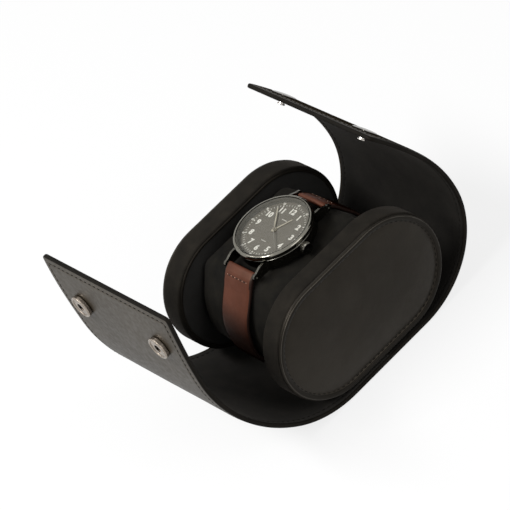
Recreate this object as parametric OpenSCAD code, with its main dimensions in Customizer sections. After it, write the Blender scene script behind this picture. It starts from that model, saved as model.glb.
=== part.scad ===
// Leather watch travel case: a long lined wrap carries two stadium-shaped end caps
// on its flat base, its two flaps curl over the caps and snap together on top, and
// a pillow between the caps holds a wristwatch on its strap.
// X runs from cap to cap, Y from the front flap to the rear flap, Z is up. The
// origin is the centre of the flat base, on its outer leather face.

/* [Wrap] */
// Width of the wrap, across both end caps
wrap_w = 87; // [84:0.5:96]
// Thickness of the outer leather
leather_t = 1.4; // [1.2:0.1:1.8]
// Thickness of the suede lining
lining_t = 1.2; // [0.8:0.1:1.4]
// Middle of the base to the first fold line of each flap
base_half = 24; // [22:0.5:27]
// Radius of the corners on the free edges
corner_r = 3.5; // [1:0.5:8]
// Width of the smooth facing strip along the rear free edge
facing_w = 16; // [14:0.5:20]

/* [Front flap] */
// Length of the first bend, next to the base
front_len_1 = 36; // [32:0.5:40]
// Turn of the first bend in degrees
front_turn_1 = 38.1; // [34:0.1:42]
// Length of the second bend
front_len_2 = 36; // [30:0.5:42]
// Turn of the second bend in degrees
front_turn_2 = 26.9; // [20:0.1:34]
// Length of the third bend
front_len_3 = 32; // [28:0.5:40]
// Turn of the third bend in degrees
front_turn_3 = 22.9; // [16:0.1:30]
// Length of the last bend, which carries the snap sockets
front_len_4 = 42.5; // [38:0.5:50]
// Turn of the last bend in degrees
front_turn_4 = 7.1; // [4:0.1:12]

/* [Rear flap] */
// Length of the first bend, next to the base
rear_len_1 = 34; // [30:0.5:38]
// Turn of the first bend in degrees
rear_turn_1 = 40.9; // [36:0.1:46]
// Length of the tight half of the second bend
rear_len_2 = 40; // [34:0.5:44]
// Turn of the tight half of the second bend in degrees
rear_turn_2 = 52; // [46:0.1:56]
// Length of the open half of the second bend
rear_len_3 = 30; // [26:0.5:36]
// Turn of the open half of the second bend in degrees
rear_turn_3 = 24.6; // [18:0.1:30]
// Length of the last bend, which carries the snap studs
rear_len_4 = 34.7; // [31:0.1:40]
// Turn of the last bend in degrees
rear_turn_4 = 9.7; // [6:0.1:14]

/* [End caps] */
// Thickness of each end cap
cap_t = 12; // [10:0.5:14]
// Radius of the cap's round ends
cap_r = 31.7; // [30.5:0.1:32.2]
// Half the length of the cap's straight sides
cap_straight = 19.1; // [17:0.1:20]
// Thickness of the suede band around the cap's rim
band_t = 1.2; // [0.8:0.1:1.6]
// Thickness of the leather outer panel at its rim
panel_t = 1.2; // [0.8:0.1:2]
// Height that the padding lifts the middle of the outer panel
panel_crown = 1.3; // [0.4:0.1:2]
// Width of the outer welt
welt_w = 2.3; // [1.5:0.1:3]
// Width of the groove between the welt and the padded panel
groove_w = 0.8; // [0.4:0.1:1.5]
// Thickness of the suede inner panel
inner_panel_t = 1; // [0.6:0.1:1.6]
// Width of the welt around the inner panel
inner_welt_w = 1.6; // [1:0.1:2.4]

/* [Snaps] */
// Distance between the two snaps
snap_gap = 58.6; // [56:0.2:60]
// Free edge of the front flap to its snap sockets
socket_in = 23.4; // [18:0.1:26]
// Free edge of the rear flap to its snap studs
stud_in = 10.5; // [9:0.1:12]
// Radius of the socket
socket_r = 5.8; // [5:0.1:6.5]
// Height of the socket above the leather
socket_h = 2.4; // [2.2:0.1:3]
// Radius of the stud's head
stud_r = 1.9; // [1.6:0.05:2.2]
// Clearance around the stud's head in the socket
snap_clear = 0.15; // [0.1:0.05:0.3]
// Radius of the cap that closes each snap on the outside of the rear flap
snap_cap_r = 6; // [5:0.1:7]

/* [Pillow] */
// Gap between the pillow and the welt on each end cap's inner face
pillow_gap = 0.25; // [0.2:0.05:0.6]
// Height of the pillow's underside above the outer face of the base
pillow_z = 10; // [9.8:0.1:10.4]
// Height of the pillow, from its underside to its top under the watch
pillow_h = 49.4; // [49:0.1:50]
// Radius of the lower corners, as a share of the pillow's height
pillow_low_share = 0.368; // [0.35:0.001:0.38]
// Radius of the bulging sides, as a share of the pillow's height
pillow_side_share = 0.765; // [0.74:0.005:0.79]
// Turn of the bulging sides in degrees
pillow_side_turn = 32; // [30:0.5:34]
// Length of the straight slope up to the shoulder, as a share of the height
pillow_slope_share = 0.2; // [0.18:0.005:0.22]
// Rounding of the pillow's ends, next to the caps
pillow_round = 6; // [3:0.5:8]
// Thickness of the suede cover
cover_t = 1.2; // [0.8:0.1:2]

/* [Watch] */
// Outer radius of the bezel
bezel_r = 20; // [19:0.1:21]
// Height of the whole watch head, without the domed crystal
head_h = 10.3; // [9.8:0.1:10.4]
// Radius of the dial opening
opening_r = 18.2; // [17.6:0.1:18.4]
// Rise of the crystal's dome
dome_h = 0.3; // [0.2:0.05:0.35]
// Middle of the watch to each spring bar
bar_y = 24; // [23.6:0.1:24.4]
// Underside of the watch to each spring bar
bar_up = 4; // [3.8:0.1:4.4]
// Strap width at the lugs
strap_w = 20; // [18:0.5:22]
// Width of each slim lug
lug_w = 1.2; // [1:0.1:1.6]
// Strap width at the buckle
strap_end_w = 18; // [16:0.5:19]
// Thickness of the strap
strap_t = 2; // [1.6:0.1:2.2]
// Radius of the crown
crown_r = 3; // [2.6:0.1:3.2]
// Length of the crown
crown_len = 3; // [2.4:0.1:3.4]
// Hour hand from the axis to its tip
hour_len = 9.5; // [8:0.1:11]
// Minute hand from the axis to its tip
minute_len = 14; // [12:0.1:15]
// Seconds hand from the axis to its tip
seconds_len = 14.4; // [12:0.1:15.5]
// Minutes shown past the hour, before one o'clock
minutes_shown = 53.4; // [0:0.1:59.9]
// Seconds shown
seconds_shown = 21.7; // [0:0.1:59.9]

/* [Hidden] */
$fn = 96;

// Clearances
run = 0.05;    // between turning or sliding pieces
touch = 0.1;   // between soft pieces that lie on each other
seam = 0.01;   // between the wrap's bends

// Wrap
wrap_t = leather_t + lining_t;
front_bends = [[front_len_1, front_turn_1], [front_len_2, front_turn_2],
    [front_len_3, front_turn_3], [front_len_4, front_turn_4]];
rear_bends = [[rear_len_1, rear_turn_1], [rear_len_2, rear_turn_2],
    [rear_len_3, rear_turn_3], [rear_len_4, rear_turn_4]];

// End caps
cap_z = wrap_t + cap_r;                  // middle of the cap
cap_out = wrap_w / 2;                    // outer face, flush with the wrap's edge
cap_in = cap_out - cap_t;                // inner face
core_r = cap_r - band_t;
panel_r = cap_r - 0.6;                   // panel set in from the band's outer face
pad_r = panel_r - 0.4 - welt_w - groove_w;
groove_depth = 0.5;
welt_rise = 0.5;
inner_welt_rise = 0.5;
band_round = 0.8;

// Snaps
dish_depth = 0.45;                       // the socket's face lies below its rolled rim
flange_h = 0.35;                         // stud flange, which lies in the dish
flange_r = 3.8;
bore_r = stud_r + snap_clear;
bore_floor = 0.25;
shank_r = 1.5;
spring_r = 0.225;                        // wire of the snap spring
neck_r = stud_r - 0.45;
spring_off = neck_r + run + spring_r;    // axis of the snap to each spring wire
spring_z = socket_h - 0.95;
spring_room = 0.05;
post_r = 4.8;
snap_cap_edge = 0.2;                     // low domed caps outside the rear flap
snap_cap_rise = 0.6;
front_snap = front_len_4 - socket_in;    // along the last bend of each flap
rear_snap = rear_len_4 - stud_in;

// Pillow
pillow_half = cap_in - inner_welt_rise - pillow_gap;
pillow_low_r = pillow_low_share * pillow_h;
pillow_side_r = pillow_side_share * pillow_h;
pillow_slope = pillow_slope_share * pillow_h;
lug_bend_r = 0.68 * pillow_side_r;       // the line turns in again towards the lugs
lug_bend_turn = 18;
lug_in = 0.54;                           // its end lies just inside the spring bar
pillow_top = pillow_z + pillow_h;

// Watch, upward from the underside of its case back
back_z = pillow_top + touch;
back_h = 1;
back_r = 17.2;
plug_r = 15.4;
plug_h = 0.5;
case_r = bezel_r - 0.5;
bezel_h = 2.7;
bezel_low_r = 0.7;                       // rounding of its edges
bezel_top_r = 1;
case_h = head_h - bezel_h;
cavity_r = 17.6;
crystal_t = 0.9;
seat_r = opening_r + 0.45;               // crystal in the bezel
dial_t = 0.4;
dial_r = opening_r + 0.2;
dial_z = back_z + case_h - run;          // top of the dial, under the bezel
hand_t = 0.15;
hand_z = [for (i = [0:2]) dial_z + 0.3 + 0.4 * i];   // hour, minute, seconds
hub_r = [1.3, 1.05, 0.75];
// Stepped arbors: each hand turns round one and rests on the step below it
pipe_r = [1.1, 0.8, 0.5, 0.22];
pipe_top = concat(hand_z, [hand_z[2] + hand_t]);
move_r = 13.5;
move_h = 3.2;
crown_z = back_z + 5;
crown_x = bezel_r + 0.15;
flutes = 20;
stem_r = 0.6;
bar_z = back_z + bar_up;
bar_r = 0.8;
pivot_r = 0.45;
lug_x = strap_w / 2 + 0.15;
lug_tip_r = 1.7;

// Strap, measured along the pillow's outline from the middle of its underside
pad_t = 3.2;                             // loop round each spring bar
tail_t = strap_t - 0.2;
buckle_s = 14;                           // buckle bar
buckle_loop_r = 1.7;
tail_len = 24;
tail_s = buckle_s + tail_len;            // tip of the tail
keeper_s = [buckle_s + 9, buckle_s + 17];
keeper_len = 5;
keeper_t = 0.9;
keeper_sag = 0.2;                        // room for the strap's curve inside a keeper
lift = keeper_t + keeper_sag + 2 * touch;   // strap off the pillow at the keepers
wire_r = 0.9;                            // buckle frame
buckle_bar_r = 0.7;
tongue_r = 0.6;

// ---- Outlines along arcs: a place is [y, z, heading in degrees] ----

function rad(a) = a * PI / 180;
function bend_r(b) = b[0] / rad(b[1]);

// Place at a distance d along bend b that starts at place p
function along(p, b, d) =
    let (r = bend_r(b), t = p[2] + b[1] * d / b[0])
    [p[0] + r * (sin(t) - sin(p[2])), p[1] + r * (cos(p[2]) - cos(t)), t];

// Start of bend i of a flap
function bend_start(bends, i) = i == 0 ? [base_half, 0, 0] :
    along(bend_start(bends, i - 1), bends[i - 1], bends[i - 1][0]);

module at_place(p) translate([0, p[0], p[1]]) rotate([p[2], 0, 0]) children();

// Children in a bend's own frame: X across, Y along the flap, Z into the case
module on_bend(bends, i, d = 0)
    at_place(along(bend_start(bends, i), bends[i], d)) children();

// Curved sheet from d0 to d1 along a bend, between two depths below its outer face
module bent_sheet(b, d0, d1, depth0, depth1) {
    r = bend_r(b);
    a0 = b[1] * d0 / b[0];
    a1 = b[1] * d1 / b[0];
    translate([0, 0, r]) rotate([0, 90, 0]) rotate([0, 0, a0])
        rotate_extrude(angle = a1 - a0)
            translate([r - depth1, -wrap_w / 2]) square([depth1 - depth0, wrap_w]);
}

// What lies outside the rounded corners at the end of a bend. The round is a hair
// wide, so that it crosses the straight edges cleanly
module corner_waste(b) {
    at_place(along([0, 0, 0], b, b[0]))
        for (side = [-1, 1])
            translate([side * (wrap_w / 2 - corner_r), -corner_r, -3])
                difference() {
                    translate([side > 0 ? 0 : -corner_r - 1, 0, 0])
                        cube([corner_r + 1, corner_r + 1, wrap_t + 6]);
                    translate([0, 0, -1]) cylinder(r = corner_r + 3 * seam, h = wrap_t + 8);
                }
}

// Places of the two snaps on a flap, d along its last bend
module at_snaps(bends, d)
    on_bend(bends, len(bends) - 1, d)
        for (side = [-1, 1]) translate([side * snap_gap / 2, 0, 0]) children();

module front() mirror([0, 1, 0]) children();

// Sheet of one bend, a hair short of the next one
module flap_sheet(bends, i, d0, d1, depth0, depth1) on_bend(bends, i)
    bent_sheet(bends[i], d0, d1 - seam, depth0, depth1);

// Sheet of a flap's last bend: rounded corners, holes for the snaps' shanks and
// shallow seats for their heads on the inner face
module flap_end(bends, snap, head_r, d0, depth0, depth1) difference() {
    flap_sheet(bends, 3, d0, bends[3][0] + seam, depth0, depth1);
    on_bend(bends, 3) corner_waste(bends[3]);
    at_snaps(bends, snap) {
        translate([0, 0, -1]) cylinder(r = shank_r, h = wrap_t + 2);
        translate([0, 0, wrap_t]) cylinder(r = head_r + seam, h = 1);
    }
}

// ---- Wrap ----

module base_leather() color("#1f1d1b")
    translate([-wrap_w / 2, -base_half, 0]) cube([wrap_w, 2 * base_half, leather_t]);

module base_lining() color("#151414")
    translate([-wrap_w / 2, -base_half, leather_t])
        cube([wrap_w, 2 * base_half, lining_t]);

module front_leather(i) color("#4a4642") front()
    flap_sheet(front_bends, i, 0, front_bends[i][0], 0, leather_t);

module front_lining(i) color("#1a1817") front()
    flap_sheet(front_bends, i, 0, front_bends[i][0], leather_t, wrap_t);

module front_leather_4() color("#4a4642") front()
    flap_end(front_bends, front_snap, post_r, 0, 0, leather_t);

module front_lining_4() color("#1a1817") front()
    flap_end(front_bends, front_snap, post_r, 0, leather_t, wrap_t);

// Sheets of one bend or of two that move as one
module rear_sheets(bends, depth0, depth1) for (i = bends)
    flap_sheet(rear_bends, i, 0, rear_bends[i][0] + (i < bends[len(bends) - 1] ? seam : 0),
        depth0, depth1);

module rear_leather(bends) color("#1f1d1b") rear_sheets(bends, 0, leather_t);

module rear_lining(bends) color("#1a1817") rear_sheets(bends, leather_t, wrap_t);

module rear_leather_3() color("#1f1d1b")
    flap_end(rear_bends, rear_snap, flange_r, 0, 0, leather_t);

module rear_facing() color("#3a3128")
    flap_end(rear_bends, rear_snap, flange_r, rear_len_4 - facing_w, leather_t, wrap_t);

module rear_lining_3() color("#1a1817")
    flap_sheet(rear_bends, 3, 0, rear_len_4 - facing_w, leather_t, wrap_t);

// ---- End caps, drawn for the right side with their own Z along X ----

module cap_side(side)
    mirror([side < 0 ? 1 : 0, 0, 0])
        translate([0, 0, cap_z]) rotate([90, 0, 90]) children();

// A profile of radius and height, taken round the stadium
module round_stadium() {
    translate([-cap_straight, 0, 0]) rotate([90, 0, 90])
        linear_extrude(2 * cap_straight) {
            children();
            mirror([1, 0]) children();
        }
    for (side = [-1, 1])
        translate([side * cap_straight, 0, 0]) rotate([0, 0, -90 * side])
            rotate_extrude(angle = 180) children();
}

module stadium_plate(r, z0, z1) round_stadium()
    translate([0, z0]) square([r, z1 - z0]);

// Points of an arc about c, from angle a0 to a1, drawn out by k in height
function arc(c, r, a0, a1, n = 8, k = 1) =
    [for (i = [0:n]) let (a = a0 + (a1 - a0) * i / n) c + r * [cos(a), k * sin(a)]];

module cap_core(side) color("#2a2725") cap_side(side)
    stadium_plate(core_r, cap_in + inner_panel_t, cap_out - panel_t);

module cap_band(side) color("#2d2620") cap_side(side) round_stadium()
    polygon(concat([[core_r, cap_in]],
        arc([cap_r - band_round, cap_in + band_round], band_round, -90, 0, 4),
        arc([cap_r - band_round, cap_out - panel_t - band_round], band_round, 0, 90, 4),
        [[core_r, cap_out - panel_t]]));

// The padded middle rises from the groove in a shallow dome
module cap_panel(side) color("#302c28") cap_side(side) round_stadium()
    polygon(concat(
        [[0, cap_out - panel_t], [panel_r, cap_out - panel_t], [panel_r, cap_out - 0.4],
            [panel_r - 0.4, cap_out], [pad_r + groove_w, cap_out],
            [pad_r + groove_w, cap_out - groove_depth]],
        [for (i = [0:10]) let (t = i / 10) [pad_r * (1 - t),
            cap_out - groove_depth + (groove_depth + panel_crown)
                * pow(1 - pow(1 - t, 2.6), 0.8)]]));

module cap_welt(side) color("#3a3531") cap_side(side) round_stadium()
    polygon(arc([panel_r - 0.4 - welt_w / 2, cap_out], welt_w / 2, 0, 180, 8,
        welt_rise / (welt_w / 2)));

module cap_inner_panel(side) color("#171515") cap_side(side)
    stadium_plate(core_r - inner_welt_w, cap_in, cap_in + inner_panel_t);

module cap_inner_welt(side) color("#241f1b") cap_side(side) round_stadium()
    polygon(concat(
        [[core_r, cap_in + inner_panel_t], [core_r - inner_welt_w, cap_in + inner_panel_t]],
        arc([core_r - inner_welt_w / 2, cap_in], inner_welt_w / 2, 180, 360, 8,
            inner_welt_rise / (inner_welt_w / 2))));

// ---- Snaps, drawn on the flap with Z into the case ----

// Socket with a rolled rim, a dished face and a groove for its two spring wires
module socket_body() rotate([180, 0, 0]) rotate_extrude()
    polygon(concat(
        [[shank_r + run, 0], [socket_r - 0.5, 0]],
        arc([socket_r - 0.5, 0.5], 0.5, -90, 0, 4),
        arc([socket_r - 0.7, socket_h - 0.7], 0.7, 0, 180, 8),
        [[socket_r - 1.4, socket_h - dish_depth], [bore_r, socket_h - dish_depth],
            [bore_r, spring_z + spring_r + spring_room],
            [bore_r + 0.8, spring_z + spring_r + spring_room],
            [bore_r + 0.8, spring_z - spring_r - spring_room],
            [bore_r, spring_z - spring_r - spring_room],
            [bore_r, bore_floor], [shank_r + run, bore_floor]]));

module snap_sockets() color("#a39a8e") front() at_snaps(front_bends, front_snap)
    socket_body();

module snap_springs() color("#c0c0c0") front() at_snaps(front_bends, front_snap)
    for (side = [-1, 1]) translate([side * spring_off, 0, -spring_z])
        rotate([90, 0, 0]) cylinder(r = spring_r, h = 3.6, center = true, $fn = 24);

// Domed rivet on the lining side, with a shank through the flap into the socket
module snap_posts() color("#8d857b") front() at_snaps(front_bends, front_snap)
    rotate_extrude() polygon([[0, -bore_floor + run], [shank_r, -bore_floor + run],
        [shank_r, wrap_t], [post_r, wrap_t], [post_r, wrap_t + 0.3],
        [post_r - 0.6, wrap_t + 0.65], [post_r * 0.55, wrap_t + 0.85], [0, wrap_t + 0.9]]);

// Stud on the inner face of the rear flap
module snap_studs() color("#c9c4bb") at_snaps(rear_bends, rear_snap)
    translate([0, 0, wrap_t]) rotate_extrude()
        polygon(concat(
            [[0, 0], [flange_r, 0], [flange_r, flange_h], [neck_r + 0.2, flange_h],
                [neck_r, flange_h + 0.2], [neck_r, 1.3]],
            arc([stud_r - 0.4, 1.72], 0.4, -60, 90, 6), [[0, 2.12]]));

// Cap on the outside of the rear flap, with a shank through the flap to the stud
module snap_caps() color("#8d857b") at_snaps(rear_bends, rear_snap)
    rotate_extrude() polygon(concat([[0, wrap_t], [shank_r, wrap_t], [shank_r, 0]],
        [for (i = [0:6]) let (a = 15 * i)
            [snap_cap_r * cos(a), -snap_cap_edge - snap_cap_rise * sin(a)]]));

// ---- Pillow: the line that the strap follows, from the middle of the underside ----

low_len = pillow_low_r * PI / 2;
side_len = pillow_side_r * rad(pillow_side_turn);
lug_len = lug_bend_r * rad(lug_bend_turn);

// Ends of its curves, measured from the end of the flat underside
q_low = along([0, 0, 0], [low_len, 90], low_len);
q_side = along(q_low, [side_len, pillow_side_turn], side_len);
q_slope = q_side + [pillow_slope * cos(q_side[2]), pillow_slope * sin(q_side[2]), 0];
q_lug = along(q_slope, [lug_len, lug_bend_turn], lug_len);

// The underside is as long as brings the line's end to the spring bar
pillow_flat = bar_y - lug_in - q_lug[0];
p_flat = [pillow_flat, pillow_z, 0];
p_low = q_low + p_flat;
p_side = q_side + p_flat;
p_slope = q_slope + p_flat;
s_low = pillow_flat + low_len;
s_side = s_low + side_len;
s_slope = s_side + pillow_slope;
s_lug = s_slope + lug_len;

function outline(s) =
    s < 0 ? let (p = outline(-s)) [-p[0], p[1], -p[2]] :
    s < pillow_flat ? [s, pillow_z, 0] :
    s < s_low ? along(p_flat, [low_len, 90], s - pillow_flat) :
    s < s_side ? along(p_low, [side_len, pillow_side_turn], s - s_low) :
    s < s_slope ? [p_side[0] + (s - s_side) * cos(p_side[2]),
        p_side[1] + (s - s_side) * sin(p_side[2]), p_side[2]] :
    along(p_slope, [lug_len, lug_bend_turn], s - s_slope);

// The pillow leaves that line at the shoulder, for its flat top under the watch
top_turn = 180 - p_slope[2];
top_len = (pillow_top - p_slope[1]) / (cos(p_slope[2]) + 1) * rad(top_turn);
pillow_right = concat(
    [for (i = [0:12]) outline(pillow_flat + low_len * i / 12)],
    [for (i = [1:6]) outline(s_low + side_len * i / 6)],
    [for (i = [0:6]) along(p_slope, [top_len, top_turn], top_len * i / 6)]);
pillow_outline = concat([for (p = pillow_right) [p[0], p[1]]],
    [for (i = [len(pillow_right) - 1:-1:0]) [-pillow_right[i][0], pillow_right[i][1]]]);

// Full section across the middle, drawn in towards both ends
module pillow_form(inset) {
    mid = (pillow_z + pillow_top) / 2;
    shrink = pillow_round / pillow_h * 0.8;
    hull() for (part = [[pillow_round, 0], [pillow_round / 3, 0.35], [0, 1]])
        rotate([90, 0, 90]) translate([0, 0, inset + part[0] - pillow_half])
            linear_extrude(2 * (pillow_half - part[0] - inset))
                translate([0, mid]) scale(1 - part[1] * shrink) translate([0, -mid])
                    offset(delta = -inset) polygon(pillow_outline);
}

module pillow_foam() color("#3a3a38") pillow_form(cover_t);

module pillow_cover() color("#1b1918") difference() {
    pillow_form(0);
    pillow_form(cover_t);
}

// ---- Watch ----

module up(z) translate([0, 0, z]) children();
module across(r, h, fn = 48) rotate([0, 90, 0]) cylinder(r = r, h = h, center = true, $fn = fn);

// Slim lug from the case down to the spring bar, with its pivot hole
module lug() difference() {
    rotate([90, 0, 90]) linear_extrude(lug_w) {
        translate([bar_y, bar_z]) circle(r = lug_tip_r, $fn = 48);
        polygon([[case_r - 7, back_z + case_h - 0.1], [case_r + 0.4, back_z + case_h - 0.3],
            [bar_y - 0.4, bar_z + lug_tip_r], [bar_y, bar_z - lug_tip_r],
            [case_r - 1.5, back_z + 2], [case_r - 7, back_z + 3]]);
    }
    translate([0, bar_y, bar_z]) across(pivot_r + run, 4 * lug_w, 32);
}

module watch_case() color("#35332f") difference() {
    union() {
        up(back_z) rotate_extrude() polygon(concat([[0, back_h]],
            arc([case_r - 2, back_h + 2], 2, -90, 0, 6),
            [[case_r, case_h - 0.5], [case_r - 0.5, case_h], [0, case_h]]));
        for (sx = [0, 1], sy = [0, 1]) mirror([sx, 0, 0]) mirror([0, sy, 0])
            translate([lug_x, 0, 0]) lug();
    }
    up(back_z + back_h - 1) cylinder(r = plug_r + run, h = 2);
    up(back_z + back_h + plug_h) cylinder(r = cavity_r, h = head_h);
    up(dial_z - dial_t) cylinder(r = dial_r + run, h = head_h);
    translate([case_r, 0, crown_z]) across(stem_r + run, 8);
}

module watch_back() color("#6f6c66") up(back_z) rotate_extrude()
    polygon([[0, 0], [back_r - 0.8, 0], [back_r - 0.3, 0.3], [back_r, back_h],
        [plug_r, back_h], [plug_r, back_h + plug_h], [0, back_h + plug_h]]);

module watch_bezel() color("#8a8577") up(back_z + case_h) rotate_extrude()
    polygon(concat([[opening_r, 0]],
        arc([bezel_r - bezel_low_r, bezel_low_r], bezel_low_r, -90, 0, 4),
        arc([bezel_r - bezel_top_r, bezel_h - bezel_top_r], bezel_top_r, 0, 90, 6),
        [[seat_r + run, bezel_h], [seat_r + run, bezel_h - crystal_t - 0.1],
            [opening_r, bezel_h - crystal_t - 0.1]]));

// Domed crystal, which seats in the bezel
module watch_crystal() color("#c8d0d0", 0.35) up(back_z + head_h - crystal_t - 0.1)
    rotate_extrude() polygon(concat([[0, 0], [seat_r, 0]],
        [for (i = [0:10]) let (t = i / 10)
            [seat_r * (1 - t), crystal_t + dome_h * (1 - pow(1 - t, 2))]]));

module watch_dial() color("#45423c") up(dial_z - dial_t) difference() {
    cylinder(r = dial_r, h = dial_t);
    up(-1) cylinder(r = pipe_r[0] + run, h = 2, $fn = 48);
}

module watch_movement() color("#b0a070") {
    foot = dial_z - dial_t;
    difference() {
        up(foot - move_h) cylinder(r = move_r, h = move_h);
        translate([move_r, 0, crown_z]) across(stem_r + run, 10);
    }
    for (i = [0:3])
        up(foot - 0.5) cylinder(r = pipe_r[i], h = pipe_top[i] - foot + 0.5, $fn = 48);
}

// Hand that points along +Y, with a tail and a round hub on its arbor
module hand(i, length, tail, root, tip) color(i < 2 ? "#d9d2b8" : "#7c776c")
    up(hand_z[i]) difference() {
        union() {
            cylinder(r = hub_r[i], h = hand_t, $fn = 48);
            linear_extrude(hand_t) polygon([[-root, -tail], [root, -tail],
                [root, length * 0.3], [tip, length - tip], [0, length], [-tip, length - tip],
                [-root, length * 0.3]]);
        }
        up(-1) cylinder(r = pipe_r[i + 1] + run, h = 2, $fn = 48);
    }

minute_angle = -6 * minutes_shown;
module hour_hand() rotate([0, 0, minute_angle / 12]) hand(0, hour_len, 1.6, 0.35, 0.22);
module minute_hand() rotate([0, 0, minute_angle]) hand(1, minute_len, 2, 0.35, 0.2);
module seconds_hand() rotate([0, 0, -6 * seconds_shown])
    hand(2, seconds_len, 5, 0.14, 0.1);

module watch_stem() color("#9a968d") {
    in = move_r - 4;
    translate([in, 0, crown_z]) rotate([0, 90, 0])
        cylinder(r = stem_r, h = crown_x + crown_len - 1 - in, $fn = 48);
}

module watch_crown() color("#55524b") translate([crown_x, 0, crown_z]) rotate([0, 90, 0])
    difference() {
        rotate_extrude() polygon([[0, 0], [crown_r - 0.6, 0], [crown_r, 0.5],
            [crown_r, crown_len - 0.5], [crown_r - 0.5, crown_len - 0.1], [0, crown_len]]);
        up(-1) cylinder(r = stem_r + run, h = crown_len + run, $fn = 48);
        for (i = [0:flutes - 1]) rotate([0, 0, 360 * i / flutes])
            translate([crown_r + 0.1, 0, -1]) cylinder(r = 0.28, h = crown_len + 2, $fn = 16);
    }

module spring_bars() color("#b8b4ac") for (side = [-1, 1])
    translate([0, side * bar_y, bar_z]) {
        across(bar_r, strap_w - 0.4);
        across(pivot_r, 2 * (lug_x + lug_w * 0.7), 32);
    }

// ---- Strap ----

// Strip along places of [y, z, heading, offset outward, width, thickness]
module strip(rings) {
    function ring(r) = let (w = r[4] / 2, t = r[5], e = min(0.45, t / 3))
        [for (q = [[-w, t - e], [-w + e, t], [w - e, t], [w, t - e],
                [w, e], [w - e, 0], [-w + e, 0], [-w, e]])
            let (d = r[3] + q[1]) [q[0], r[0] + d * sin(r[2]), r[1] - d * cos(r[2])]];
    n = len(rings);
    polyhedron([for (r = rings) each ring(r)], concat(
        [[7, 6, 5, 4, 3, 2, 1, 0]],
        [for (i = [0:n - 2], k = [0:7]) [i * 8 + k, i * 8 + (k + 1) % 8,
            (i + 1) * 8 + (k + 1) % 8, (i + 1) * 8 + k]],
        [[for (k = [0:7]) (n - 1) * 8 + k]]), convexity = 6);
}

function mix(a, b, t) = a + (b - a) * max(0, min(1, t));
function smooth(t) = let (u = max(0, min(1, t))) u * u * (3 - 2 * u);
function taper(s) = mix(strap_w - 0.2, strap_end_w, (s_lug - abs(s)) / (s_lug - buckle_s));

// How far each half of the strap lies off the pillow
function short_off(s) = mix(lift, touch, smooth((s - s_low + 6) / 12));
tail_off = lift + strap_t / 2 + buckle_loop_r + touch;
function long_off(s) = s < 0 ? touch : mix(touch, tail_off, smooth((s - buckle_s + 12) / 10));

s_top = s_lug - 1.2;
pad_len = 9;
ring_gap = 3;

// Loop at the spring bar, less the bar's hole
module strap_half(side) difference() {
    union() {
        children();
        translate([0, side * bar_y, bar_z]) across(pad_t / 2, strap_w - 0.2);
    }
    translate([0, side * bar_y, bar_z]) across(bar_r + run, strap_w + 1);
}

// Long half: from the front spring bar under the pillow to the tip of the tail
module strap_long() color("#6e4236") {
    count = ceil((s_top + tail_s) / ring_gap);
    hole_gap = 6;
    difference() {
        strap_half(-1) strip([for (i = [0:count])
            let (s = -s_top + (s_top + tail_s) * i / count, p = outline(s),
                tip = 1 - 0.7 * smooth((s - tail_s + 6) / 9))
            [p[0], p[1], p[2], long_off(s), taper(s) * tip,
                mix(pad_t * 0.85, s > 0 ? tail_t : strap_t, (s + s_top) / pad_len)]]);
        translate([-tongue_r - 0.4, buckle_s - 8, 0]) cube([2 * tongue_r + 0.8, 5.4, pillow_z]);
        for (i = [1:4]) at_place(outline(buckle_s - 6 - hole_gap * i))
            translate([0, 0, -6]) cylinder(r = 0.9, h = 6 + touch, $fn = 24);
    }
}

// Short half: from the rear spring bar to the buckle bar
buckle_z = pillow_z - lift - strap_t / 2;
module strap_short() color("#6e4236") {
    count = ceil((s_top - buckle_s) / ring_gap);
    difference() {
        union() {
            strap_half(1) strip([for (i = [0:count])
                let (s = buckle_s + 1 + (s_top - buckle_s - 1) * i / count, p = outline(s))
                [p[0], p[1], p[2], short_off(s), taper(s),
                    mix(pad_t * 0.85, strap_t, (s_top - s) / pad_len)]]);
            translate([0, buckle_s, buckle_z]) across(buckle_loop_r, strap_end_w);
        }
        translate([0, buckle_s, buckle_z]) across(buckle_bar_r + run, strap_end_w + 1);
        translate([-tongue_r - 0.5, buckle_s - 3, 0])
            cube([2 * tongue_r + 1, 6.5, pillow_z]);
    }
}

// Keeper: a loop round both halves of the strap
module keeper(s) color("#5f382e") at_place(outline(s)) {
    inner = tail_off + tail_t - keeper_t;
    w = taper(s) + 0.5;
    translate([-w / 2 - keeper_t, -keeper_len / 2, -touch - 2 * keeper_t - inner])
        difference() {
            cube([w + 2 * keeper_t, keeper_len, inner + 2 * keeper_t]);
            translate([keeper_t, -1, keeper_t]) cube([w, keeper_len + 2, inner]);
        }
}

// Buckle: a wire frame round the tail, its bar through the end of the short half
buckle_len = 9;
buckle_x = strap_end_w / 2 + 0.6 + wire_r;
frame_y = buckle_s - buckle_len;
frame_z = pillow_z - long_off(frame_y) - tail_t - 0.4 - wire_r;
module buckle_frame() color("#5a574f") {
    drop = buckle_z - frame_z;
    translate([0, buckle_s, buckle_z]) across(buckle_bar_r, 2 * buckle_x, 32);
    translate([0, frame_y, frame_z]) across(wire_r, 2 * buckle_x, 32);
    for (side = [-1, 1]) translate([side * buckle_x, frame_y, frame_z]) {
        sphere(r = wire_r, $fn = 32);
        rotate([-atan2(buckle_len, drop), 0, 0])
            cylinder(r = wire_r, h = sqrt(pow(buckle_len, 2) + pow(drop, 2)), $fn = 32);
        translate([0, buckle_len, drop]) sphere(r = wire_r, $fn = 32);
    }
}

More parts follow.
